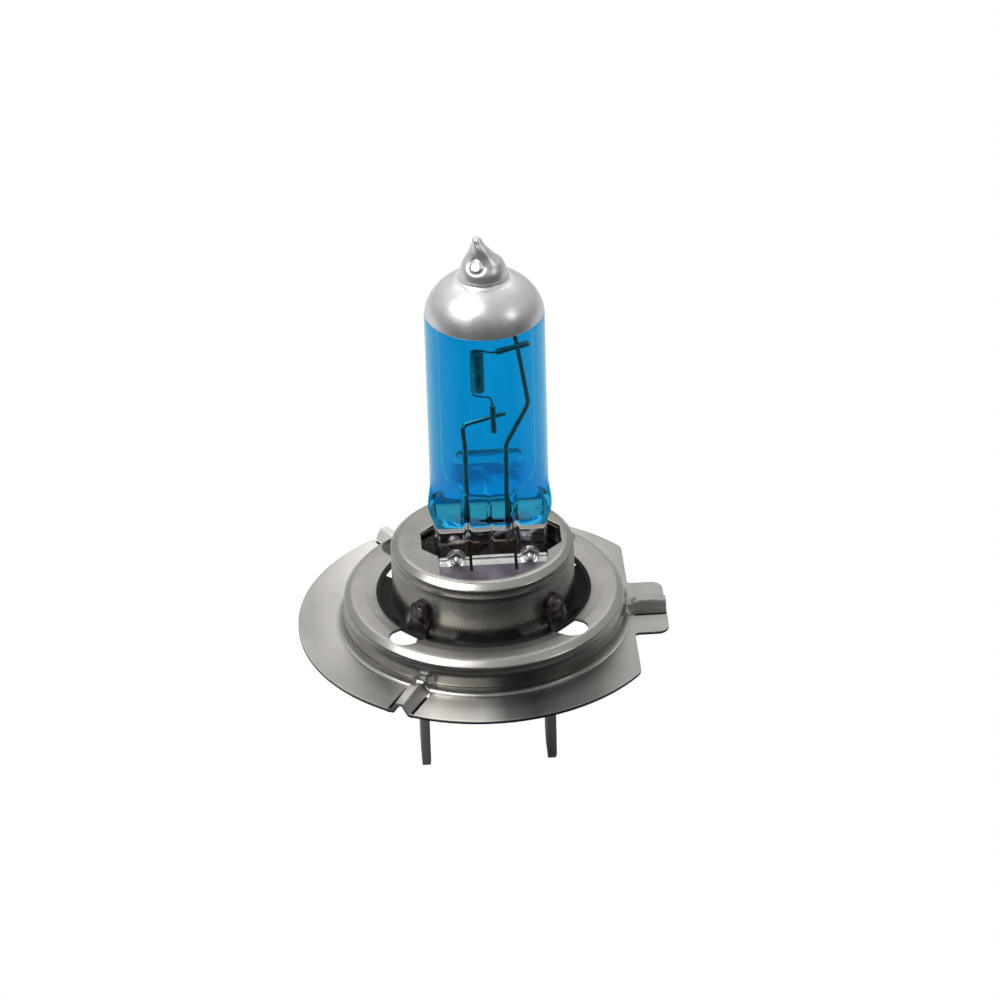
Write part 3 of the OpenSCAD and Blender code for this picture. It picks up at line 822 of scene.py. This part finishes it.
def coil_path():
    """The coil's turns, between its lower and its upper leg."""
    whole = 2 * math.pi * COIL_TURNS
    rise = (COIL_HIGH - COIL_LOW) / whole
    turns = [(COIL_X - COIL_R * math.cos(a), COIL_R * math.sin(a), COIL_LOW + rise * a)
             for a in np.linspace(0, whole, COIL_TURNS * 24 + 1)]
    leg_low = in_tube([(0.5, 0, 20.9), (0.47, 0, 21.5), (0.4, 0, 22.0), (0.15, -0.1, 22.4),
                       (-0.4, -0.3, 22.62), (-1.0, -0.42, 22.8), (-1.35, -0.25, 22.93)])
    leg_high = in_tube([(-1.33, 0.2, 27.02), (-0.95, 0.3, 27.12), (-0.3, 0.15, 27.1), (0.4, 0, 26.98),
                        (1.1, 0, 27.03), (1.6, 0, 27.16)])
    return smooth_path(leg_low, 0.08 * MM) + turns[2:-2] + smooth_path(leg_high, 0.08 * MM)


def crimped_sleeve(ends, radius):
    """A short tube with a slightly flattened waist and open-looking ends."""
    a, b = (np.array(p) for p in ends)
    verts, faces = tube([a + (b - a) * t for t in np.linspace(0, 1, 25)], radius, 24)
    out = []
    for v in verts:
        t = float(np.clip((v - a).dot(b - a) / (b - a).dot(b - a), 0, 1))
        axis_point = a + (b - a) * t
        pinch = 1 - 0.16 * math.exp(-((t - 0.5) / 0.16) ** 2)
        out.append(axis_point + (v - axis_point) * pinch)
    return out, faces


def make_wires():
    piece("coil", *tube(coil_path(), COIL_WIRE, 10), TUNGSTEN, "filament_coil", "tungsten")
    for name, shape, node in (
            ("long_lead", tube(bent_path(LONG_LEAD, 0.5 * MM), LEAD_R, 20), "long_support_lead"),
            ("short_lead", tube(bent_path(SHORT_LEAD, 0.35 * MM), LEAD_R, 20), "short_support_lead"),
            ("upper_sleeve", crimped_sleeve(UPPER_SLEEVE, SLEEVE_R), "upper_filament_sleeve"),
            ("lower_sleeve", crimped_sleeve(LOWER_SLEEVE, SLEEVE_R), "lower_filament_sleeve")):
        piece(name, *shape, MOLY, node, "molybdenum")


def make_bridge():
    """Quartz bar with rounded ends, swollen where it grips the leads."""
    x0, x1 = low("quartz_bridge").x, high("quartz_bridge").x
    r = (high("quartz_bridge").z - low("quartz_bridge").z) / 2
    loops = []
    for t in np.linspace(0, 1, 49):
        x = x0 + (x1 - x0) * t
        end = min(x - x0, x1 - x) / (0.5 * MM)
        k = math.sqrt(max(1 - (1 - min(end, 1)) ** 2, 0.02))
        grip = sum(math.exp(-((x - lead) / (0.45 * MM)) ** 2) for lead in (LEFT_X, RIGHT_X))
        rr = r * k * (0.93 + 0.07 * grip)
        loops.append([(x, rr * math.sin(a), BRIDGE_Z + rr * math.cos(a)) for a in turn_angles(32)])
    verts, faces = closed_loft(loops)
    unseen_by_steel(piece("bridge", verts, flipped(faces), QUARTZ, "quartz_bridge", "quartz"))


def make_foil(side):
    """Thin foil with feathered edges and a faint wave."""
    node = side + "_foil"
    lo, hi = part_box(node)
    rows, columns = 21, 9
    verts = []
    for y_sign in (-1, 1):
        for i in range(rows):
            for j in range(columns):
                u, v = i / (rows - 1), j / (columns - 1)
                edge = 1 - abs(2 * v - 1) ** 4
                wave = 0.02 * MM * math.sin(14 * u + 3 * v)
                verts.append((lo.x + (hi.x - lo.x) * v, y_sign * hi.y * (0.15 + 0.85 * edge) + wave,
                              lo.z + (hi.z - lo.z) * u))
    n = rows * columns
    quads = grid_faces(rows, columns, False)
    faces = quads + [tuple(n + i for i in reversed(f)) for f in quads]
    rim = list(range(columns)) + [i * columns + columns - 1 for i in range(1, rows)]
    rim += [(rows - 1) * columns + j for j in reversed(range(columns - 1))]
    rim += [i * columns for i in reversed(range(1, rows - 1))]
    faces += [(a, a + n, b + n, b) for a, b in zip(rim, rim[1:] + rim[:1])]
    piece(side + "_seal_foil", verts, faces, FOIL, node, "foil")


def make_outer_leads():
    """The leads from the foils down to the blades, and the weld beads at their feet."""
    foot_z = low("lead_weld_beads").z
    bead_x = high("lead_weld_beads").x - 0.5 * MM
    for side, sign, x in (("left", -1, LEFT_X), ("right", 1, RIGHT_X)):
        path = bent_path([(x, 0, low("left_foil").z), (x, 0, -1.5 * MM), (sign * bead_x, 0, -3.6 * MM),
                          (sign * bead_x, 0, foot_z)], 0.6 * MM)
        piece(side + "_feed_lead", *tube(path, 0.3 * MM, 20), MOLY, side + "_outer_lead", "molybdenum")
    profile = [(r * MM, foot_z + z * MM) for r, z in ((0.5, 0), (0.46, 0.14), (0.36, 0.3), (0.28, 0.38))]
    beads = []
    for sign in (-1, 1):
        verts, faces = lathe(profile, 32, sign * bead_x)
        beads.append((verts, faces + end_caps(len(profile), 32)))
    piece("weld_beads", *joined(beads), WELD, "lead_weld_beads", "weld")


# ---- focusing ring
def flange_edge(x, y):
    disc = math.hypot(x, y) - FLANGE_R
    plate = blend_max(disc, x - CHORD_X, 0.35 * MM)
    tab = rounded_box(x - (TAB_X - 3 * MM), y, 3 * MM, TAB_HALF_W, 1.1 * MM)
    return blend_min(plate, tab, 0.4 * MM)


def window_edge(x, y):
    """Distance to the nearest of the four windows that the tongues were cut from."""
    best = 1.0
    for a in TONGUE_ANGLES:
        u, v = turned(x, y, a)
        round_end = math.hypot(max(u - WINDOW_OUT + WINDOW_HALF_W, 0), v) - WINDOW_HALF_W
        best = min(best, max(round_end, WINDOW_IN - u))
    return best


def rib_height(x, y):
    """How far the three pressed ribs raise the flange at a point."""
    best = 0.0
    for a in RIB_ANGLES:
        u, v = turned(x, y, a)
        if u > 0:
            flank = min(max((0.98 * MM - abs(v)) / (0.6 * MM), 0.0), 1.0)
            start = ease((u - SEAT_R - 0.4 * MM) / (1.0 * MM))
            end = ease((u - 15.2 * MM) / (1.8 * MM))
            best = max(best, flank * (0.6 + 0.4 * start - 0.2 * end))
    return -FLANGE_TOP * (0.35 * ease(best) + 0.65 * best)


def crease(x, y):
    """How deep the sheet is creased beside a rib at a point: on one side only of the tab's rib."""
    best = 0.0
    for a in RIB_ANGLES:
        u, v = turned(x, y, a)
        on_tab = a == 0
        if u > CREASE_IN and (v < 0 or not on_tab):
            half = 0.24 * MM if on_tab else 0.18 * MM
            ends = ease((u - CREASE_IN) / (0.3 * MM)) * ease((CREASE_OUT - u) / (0.3 * MM))
            best = max(best, ends * ease((half - abs(abs(v) - 1.12 * MM)) / (0.08 * MM)))
    return 0.3 * MM * best


def barrel(z):
    """How far the collar's wall draws in: at its foot, and in a line under the shoulder."""
    waist = COLLAR_TOP - ROLL_BEND - 0.65 * ROLL_FACET
    foot = ease((-0.1 * MM - z) / (0.5 * MM))
    line = ease((z - waist + 0.85 * MM) / (0.85 * MM))
    return 0.12 * MM * foot + 0.24 * MM * line ** 2


def flute(angle, z):
    """How far the rib's mark stands out of the collar's wall."""
    best = 0.0
    for a in RIB_ANGLES:
        off = abs((math.degrees(angle) - a - 2 + 180) % 360 - 180)
        across = ease((math.radians(4.2 - off) * SEAT_R) / (0.7 * MM))
        best = max(best, across * ease((0.95 * MM - z) / (0.5 * MM)))
    return 0.26 * MM * best


def ring_angles():
    """Azimuths of the ring's points, closer together at the ribs and at the tab's corners."""
    fine = [(a, 7.0, 0.25) for a in RIB_ANGLES]
    for sign in (-1, 1):
        fine += [(sign * 15.7, 2.9, 0.1), (sign * 38, 2.6, 0.2)]
    degrees = list(np.arange(0, 360, 1.0))
    for middle, reach, step in fine:
        degrees += list(np.arange(middle - reach, middle + reach, step))
    kept = []
    for a in sorted(set(round(a % 360, 3) for a in degrees)):
        if not kept or a - kept[-1] > 0.08:
            kept.append(a)
    return [math.radians(a) for a in kept]


def rolled_edge(outer_r, top, bend, facet):
    """Profile from a wall up to the flat on top, through a flatter band, and where that flat starts."""
    lean = math.radians(FACET_TILT)
    c, s = math.cos(lean), math.sin(lean)
    foot_z = top - bend - facet * s
    points = arc((outer_r - bend, foot_z), bend, 0, 90 - FACET_TILT, 8)
    r, z = points[-1]
    points.append((r - facet * c, z + facet * s))
    flat_r = points[-1][0] - bend * s
    return points + arc((flat_r, top - bend), bend, 90 - FACET_TILT, 72, 4)[1:], flat_r


def rolled_height(r, top, bend, flat_r):
    """Height of the flat on top, and of the bend outside it."""
    return top - bend + math.sqrt(max(bend ** 2 - max(r - flat_r, 0) ** 2, 0))


def annulus_height(x, y):
    """Height of the collar's top, with a faint step and a lip that turns down at the hole."""
    r = math.hypot(x, y)
    flat_r = rolled_edge(SHOULDER_R, COLLAR_TOP, ROLL_BEND, ROLL_FACET)[1]
    inward = max(flat_r - r, 0) / (flat_r - HOLE_R)
    step = 0.05 * MM * ease((10.85 * MM - r) / (0.14 * MM))
    return rolled_height(r, COLLAR_TOP, ROLL_BEND, flat_r) - FUNNEL * inward ** 4 - step


def ring_rows(angle, foot_rows=8, wall_rows=16, flange_rows=16):
    """Points of the ring's top skin at one azimuth, from the flange's edge to the shoulder."""
    c, s = math.cos(angle), math.sin(angle)
    edge = edge_radius(flange_edge, (0, 0), angle, 25 * MM)
    foot = SEAT_R - 0.05 * MM + FOOT_FILLET
    rows = []
    for t in np.linspace(0, 1, flange_rows):
        r = edge + (foot - edge) * t
        rows.append((r, FLANGE_TOP + rib_height(r * c, r * s) - crease(r * c, r * s)))
    level = rows[-1][1]
    rows += [(r, z) for r, z in arc((foot, level + FOOT_FILLET), FOOT_FILLET, 270, 180, foot_rows)][1:]
    shoulder = rolled_edge(SHOULDER_R, COLLAR_TOP, ROLL_BEND, ROLL_FACET)[0]
    top = shoulder[0][1] - 0.02 * MM
    for t in np.linspace(0, 1, wall_rows)[1:]:
        z = level + FOOT_FILLET + (top - level - FOOT_FILLET) * t
        rows.append((SEAT_R - barrel(z) + flute(angle, z), z))
    rows += shoulder[1:]
    return [(r * c, r * s, z) for r, z in rows]


def tongue(angle, columns=11):
    """A weld tongue, bent up from the edge of the hole against the cup."""
    face = CUP_R + CUP_SHEET
    foot_z = COLLAR_TOP - FUNNEL - 0.25 * MM
    round_z = TONGUE_TOP - TONGUE_HALF_W
    path = [(HOLE_R + (face - HOLE_R) * t, foot_z + 0.9 * MM * ease(t) + 0.35 * MM * t)
            for t in np.linspace(0, 1, 8)]
    path += [(face, z) for z in np.linspace(foot_z + 1.5 * MM, round_z, 6)]
    path += [(face, round_z + TONGUE_HALF_W * math.sin(t)) for t in np.linspace(0.15, math.pi / 2 - 0.12, 8)]
    verts = []
    for r, z in path:
        half = TONGUE_HALF_W
        if z > round_z:
            half *= math.sqrt(max(1 - ((z - round_z) / TONGUE_HALF_W) ** 2, 0.01))
        for v in np.linspace(-1, 1, columns):
            a = math.radians(angle) + v * half / r
            verts.append((r * math.cos(a), r * math.sin(a), z))
    return verts, grid_faces(len(path), columns, False)


def on_circle(r, angles):
    return [(r * math.cos(a), r * math.sin(a)) for a in angles]


def make_ring():
    """The focusing ring as one skin of sheet, and the four tongues in a darker finish."""
    columns = [ring_rows(a) for a in ring_angles()]
    rows = len(columns[0])
    skin = ([column[i] for i in range(rows) for column in columns], grid_faces(rows, len(columns)))
    outer = [column[-1][:2] for column in columns]
    outer_r = math.hypot(*outer[0])
    middles = on_circle((WINDOW_IN + WINDOW_OUT) / 2, np.radians(TONGUE_ANGLES))
    windows = [outline(window_edge, middle, turn_angles(72), 3 * MM) for middle in middles]

    def keep(x, y):
        r = math.hypot(x, y)
        return max(r - outer_r, HOLE_R - r, -window_edge(x, y))

    loops = [outer, on_circle(HOLE_R, turn_angles(240))] + windows
    patch = filled(loops, keep, annulus_height, spacing=0.22 * MM, extent=12.6 * MM)
    sheet_piece("ring_body", [skin, patch], STEEL, "focusing_ring", "satin_steel", RING_SKIN)
    tongues = joined([tongue(a) for a in TONGUE_ANGLES])
    sheet_metal(piece("ring_tongues", *tongues, BROWN, "focusing_ring", "tinted_steel"), CUP_SHEET)


def weld_nugget(angle, r, z):
    """A low crater-shaped weld on an upright wall."""
    radius, height = 0.62 * MM, 0.16 * MM
    shape = ((1.0, 0.0), (0.93, 0.45), (0.78, 0.85), (0.6, 1.0), (0.42, 0.8), (0.28, 0.45), (0.14, 0.62),
             (0.03, 0.7))
    c, s = math.cos(math.radians(angle)), math.sin(math.radians(angle))
    verts = []
    for k, rise in shape:
        for t in turn_angles(32):
            out, side = r + height * rise, radius * k * math.cos(t)
            verts.append((out * c - side * s, out * s + side * c, z + radius * k * math.sin(t)))
    return verts, grid_faces(len(shape), 32) + end_caps(len(shape), 32)


def make_nuggets():
    nuggets = joined([weld_nugget(a, CUP_R + CUP_SHEET - 0.03 * MM, WELD_Z) for a in TONGUE_ANGLES])
    piece("tongue_welds", *nuggets, WELD, "ring_weld_nuggets", "weld")


# ---- holder cup
def cup_opening(x, y):
    """The slot with cut corners for the seal, and the wide arc in front of it."""
    u, v = abs(x - TUBE_X), abs(y)
    corner = (u + v - SLOT_X - SLOT_Y + SLOT_CORNER) / math.sqrt(2)
    slot = max(u - SLOT_X, v - SLOT_Y, corner)
    front = max(math.hypot(x, y) - ARC_R, u - ARC_X, y + SLOT_Y - 0.1 * MM)
    return min(slot, front)


def cup_height(x, y):
    flat_r = rolled_edge(CUP_R, CUP_TOP, ROLL_BEND, ROLL_FACET)[1]
    return rolled_height(math.hypot(x, y), CUP_TOP, ROLL_BEND, flat_r)


def notched(point):
    """Draw the rim at the cup's foot in where a tongue stands."""
    x, y, z = point
    r, start = math.hypot(x, y), CUP_R + 0.15 * MM
    off = abs(math.degrees(math.atan2(y, x)) % 90 - TONGUE_ANGLES[0])
    if r < start or off > RIM_NOTCH:
        return point
    drawn_in = 0.95 * (r - start) * ease((RIM_NOTCH - off) / 4)
    k = (r - drawn_in) / r
    return (x * k, y * k, z - RIM_RISE * drawn_in)


def make_cup():
    """The holder cup as one skin of sheet, from its notched rim up to the slot for the seal."""
    groove_z = CUP_TOP - 1.3 * MM
    groove_r = CUP_R - 0.05 * MM
    rim_z = CUP_LOW + CUP_SHEET
    flare = CUP_R + 0.2 * MM
    wall = [(r, rim_z + RIM_RISE * (r - flare)) for r in np.linspace(CUP_RIM_R + 0.2 * MM, flare, 7)]
    wall += [(CUP_R, z) for z in np.linspace(rim_z + 0.2 * MM, groove_z - 0.2 * MM, 13)]
    wall += [(groove_r, groove_z - 0.08 * MM), (groove_r, groove_z + 0.02 * MM),
             (CUP_R, groove_z + 0.14 * MM)]
    profile = wall + rolled_edge(CUP_R, CUP_TOP, ROLL_BEND, ROLL_FACET)[0]
    verts, faces = lathe(profile, 256)
    skin = ([notched(v) for v in verts], faces)
    rim_r = profile[-1][0]
    opening = outline(cup_opening, (TUBE_X, -1.0 * MM), turn_angles(220), 12 * MM)

    def keep(x, y):
        return max(math.hypot(x, y) - rim_r, -cup_opening(x, y))

    loops = [on_circle(rim_r, turn_angles(256)), opening]
    patch = filled(loops, keep, cup_height, spacing=0.2 * MM, extent=8.6 * MM)
    sheet_piece("cup_body", [skin, patch], STEEL, "holder_cup", "satin_steel", CUP_SHEET)


# ---- press clamp at the front
CLAMP_TOP = CUP_TOP - CUP_SHEET
CLAMP_SHEET = 0.4 * MM
LIP_Y = 3.45 * MM
LIP_RUN = 0.55 * MM
CLAMP_HALF_W = 5.35 * MM
HOOD_X, HOOD_Z = 3.35 * MM, CLAMP_TOP + 0.42 * MM
DISH_R, BALL_R = 0.62 * MM, 0.34 * MM
SLIT_X, SLIT_HALF_W, SLIT_Y = 2.05 * MM, 0.14 * MM, -5.0 * MM


def lip_height(x):
    """Height of the upturned lip along the seal, arched over each dimple."""
    x = abs(x - TUBE_X)
    if x < SLIT_X:
        return 0.5 * MM
    off = abs(x - HOOD_X) / (0.8 * MM)
    arch = 0.35 * MM + 0.62 * MM * math.sqrt(1 - off * off) if off < 1 else 0.0
    side = 0.42 * MM * ease((5.3 * MM - x) / (0.5 * MM))
    return max(side, arch, 0.12 * MM)


def lip_point(x, t):
    """A point on the front clamp at t along its section: 0 at the outer edge, 1 at the lip's top."""
    edge = -math.sqrt((CUP_R - CUP_SHEET - 0.1 * MM) ** 2 - x * x)
    start = -LIP_Y - LIP_RUN
    if t < 0.5:
        return Vector((x, edge + (start - edge) * t / 0.5, CLAMP_TOP))
    up = (t - 0.5) / 0.5
    lip = lip_height(x)
    point = Vector((x, start + LIP_RUN * ease(up * 1.05), CLAMP_TOP + lip * up * (0.4 + 0.6 * up)))
    off = math.hypot(abs(x - TUBE_X) - HOOD_X, (point.z - HOOD_Z) * 1.1)
    dish = 0.34 * MM * ease((DISH_R - off) / (0.2 * MM))
    ball = 0.40 * MM * math.sqrt(max(1 - (off / BALL_R) ** 2, 0))
    point.y += dish - ball
    return point


def make_front_clamp():
    """The front clamp, slit beside its hooded dimples, with its lip in a paler metal as a painted highlight.
    """
    across = list(np.arange(-CLAMP_HALF_W, CLAMP_HALF_W + 1e-9, 0.06 * MM))
    across += [side * (SLIT_X + edge) for side in (-1, 1) for edge in (-SLIT_HALF_W, SLIT_HALF_W)]
    xs = sorted(set(round(TUBE_X + v, 7) for v in across))
    ts = list(np.linspace(0, 0.5, 14)) + list(np.linspace(0.5, 1, 40))[1:]
    verts = [lip_point(x, t) for t in ts for x in xs]
    faces = []
    for f in grid_faces(len(ts), len(xs), False):
        c = sum((verts[i] for i in f), Vector()) / 4
        in_slit = abs(abs(c.x - TUBE_X) - SLIT_X) < SLIT_HALF_W
        if not (in_slit and c.y > SLIT_Y):
            faces.append(f)
    clamp = piece("front_clamp", verts, faces, (PURPLE, LIP_HIGHLIGHT), "press_clamp_front", "tinted_steel")
    merge_close(clamp, 1e-8)
    sheet_metal(clamp, CLAMP_SHEET, 0.05 * MM)
    # The upturned lip takes the paler metal, a painted highlight.
    for face in clamp.data.polygons:
        face.material_index = int(face.center.z > CLAMP_TOP + 0.03 * MM)


# ---- pieces kept close to the CAD
def make_base():
    softened_copy("press_clamp_rear", PURPLE, 0.05 * MM)
    softened_copy("clamp_weld_nuggets", WELD, 0.03 * MM)
    softened_copy("base_can", STEEL)
    softened_copy("can_weld_nuggets", WELD, 0.03 * MM)
    softened_copy("insulator", STEATITE, 0.15 * MM)
    for side in ("left", "right"):
        softened_copy(side + "_blade", BLADE_STEEL, 0.12 * MM)


# ---- floor, light and camera
# The floor's grey in reflections: painted shade, dark in front and pale at the back.
FLOOR_FRONT, FLOOR_BACK = 0.02, 0.75
FLOOR_SLOPE = 8.0
FLOOR_GAP = 0.5 * MM
FLOOR_REACH = 6.0


def make_floor():
    """A pale floor, white for the eye; in the metal's reflections it is grey, with shade painted dark in
    front and paler towards the back.
    """
    look = Look("pale_floor", Roughness=0.9)
    depth = look.scaled(look.axes()["Y"], FLOOR_SLOPE, 0.5)
    depth = look.scaled(look.noise(0.12, 2), 0.05, depth)
    look.set("Base Color", look.ramp(depth, (0.1, FLOOR_FRONT), (0.9, FLOOR_BACK)))
    white = look.nodes.new("ShaderNodeEmission")
    mixed = look.nodes.new("ShaderNodeMixShader")
    look.feed(mixed.inputs[0], look.seen_directly())
    look.feed(mixed.inputs[1], look.shader.outputs["BSDF"])
    look.feed(mixed.inputs[2], white.outputs["Emission"])
    look.feed(look.nodes["Material Output"].inputs["Surface"], mixed.outputs["Shader"])
    mesh = bpy.data.meshes.new("floor")
    z = low("left_blade").z - FLOOR_GAP
    corners = [(x * FLOOR_REACH, y * FLOOR_REACH, z) for x, y in ((-1, -1), (1, -1), (1, 1), (-1, 1))]
    mesh.from_pydata(corners, [], [(0, 1, 2, 3)])
    mesh.materials.append(look.material)
    floor = add("floor", mesh)


def softbox(name, place, size, radiance, target=(0, 0, 0.01)):
    """A rectangular light that looks equally bright at any size."""
    light = bpy.data.lights.new(name, "AREA")
    light.shape = "RECTANGLE"
    light.size, light.size_y = size
    light.energy = radiance * math.pi * size[0] * size[1]
    obj = add(name, light)
    obj.location = place
    obj.rotation_euler = (Vector(target) - Vector(place)).to_track_quat("-Z", "Y").to_euler()
    obj.visible_camera = False
    obj.visible_transmission = False


def make_lights():
    softbox("top_left", (-0.27, -0.12, 0.48), (0.36, 0.34), 4.6)
    softbox("front_right", (0.40, -0.22, 0.34), (0.13, 0.13), 3.0)
    softbox("back_top", (0.0, 0.36, 0.44), (0.7, 0.18), 1.1)


def make_world():
    """White for the eye, and in reflections a grey that lightens upwards and towards the back."""
    world = bpy.data.worlds.new("studio")
    bpy.context.scene.world = world
    world.use_nodes = True
    sky = NodeTree(world.node_tree, "Generated")
    _, y, z = sky.axes()
    height = sky.scaled(y, 0.30, sky.scaled(z, 0.5, 0.4))
    grey = sky.ramp(height, (0.2, 0.04), (0.45, 0.16), (0.7, 0.50), (1.0, 0.66))
    sky.feed(sky.nodes["Background"].inputs["Color"], sky.mix(sky.seen_directly(), grey, 1.0))


AZIMUTH, ELEVATION, ROLL = math.radians(-3.0), math.radians(31.9), math.radians(1.6)
LOOK_AT = Vector((1.736, 0, 11.42)) * MM
CAMERA_DISTANCE = 0.4375
LENS = 173.0


def make_camera():
    """From the front, 32 degrees above the flange, turned by three degrees and rolled by one and a half."""
    ahead = Vector((-math.sin(AZIMUTH) * math.cos(ELEVATION), math.cos(AZIMUTH) * math.cos(ELEVATION),
                    -math.sin(ELEVATION)))
    right = Vector((math.cos(AZIMUTH), math.sin(AZIMUTH), 0))
    up = right.cross(ahead)
    camera = bpy.data.cameras.new("camera")
    camera.lens = LENS
    camera.sensor_width = 36
    camera.clip_start = 0.01
    obj = add("camera", camera)
    turn = Matrix((right * math.cos(ROLL) - up * math.sin(ROLL),
                   up * math.cos(ROLL) + right * math.sin(ROLL), -ahead)).transposed().to_4x4()
    obj.matrix_world = Matrix.Translation(LOOK_AT - ahead * CAMERA_DISTANCE) @ turn
    bpy.context.scene.camera = obj


make_camera()
make_floor()
make_lights()
make_world()
make_glass()
make_wires()
make_bridge()
make_foil("left")
make_foil("right")
make_outer_leads()
make_ring()
make_nuggets()
make_cup()
make_front_clamp()
make_base()
bpy.context.scene.view_settings.view_transform = "Standard"
